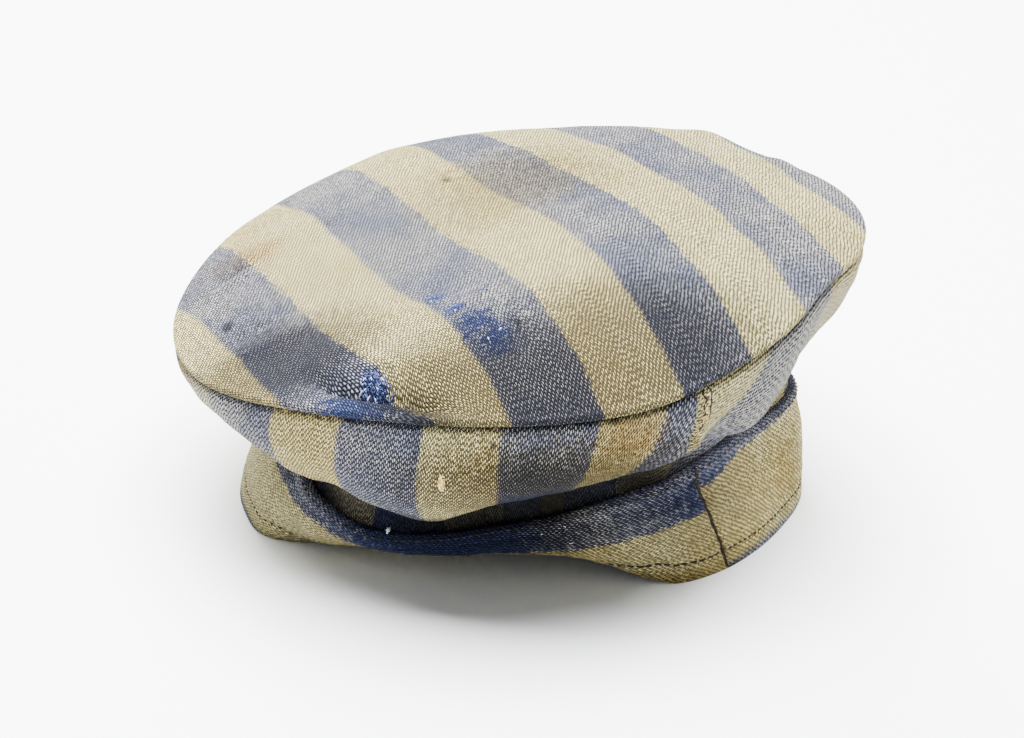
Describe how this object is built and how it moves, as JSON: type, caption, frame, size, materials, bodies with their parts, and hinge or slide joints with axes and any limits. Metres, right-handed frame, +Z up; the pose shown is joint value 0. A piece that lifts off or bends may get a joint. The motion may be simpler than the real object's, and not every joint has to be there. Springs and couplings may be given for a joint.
{
  "type": "prisoner cap",
  "caption": "Soft peakless round cap of striped twill at rest: a dented round crown over a folded head band, rolled under at the front.",
  "frame": {"origin": "on the surface the cap rests on, under the middle of its outline seen from above", "axes": "+Z up, -Y towards the front of the cap, where the crown side hangs out over the band, +X to the cap's higher side, which is to the right seen from the front"},
  "size_m": [0.251, 0.2488, 0.1229],
  "materials": {
    "crown_top_cloth": "worn striped twill, faded blue-grey and cream",
    "crown_side_cloth": "worn striped twill, faded blue-grey and cream",
    "head_band_cloth": "worn striped twill, faded blue-grey and cream"
  },
  "bodies": {
    "root": {"crown_top": "crown_top_cloth", "crown_side": "crown_side_cloth", "head_band": "head_band_cloth"}
  },
  "joints": []
}
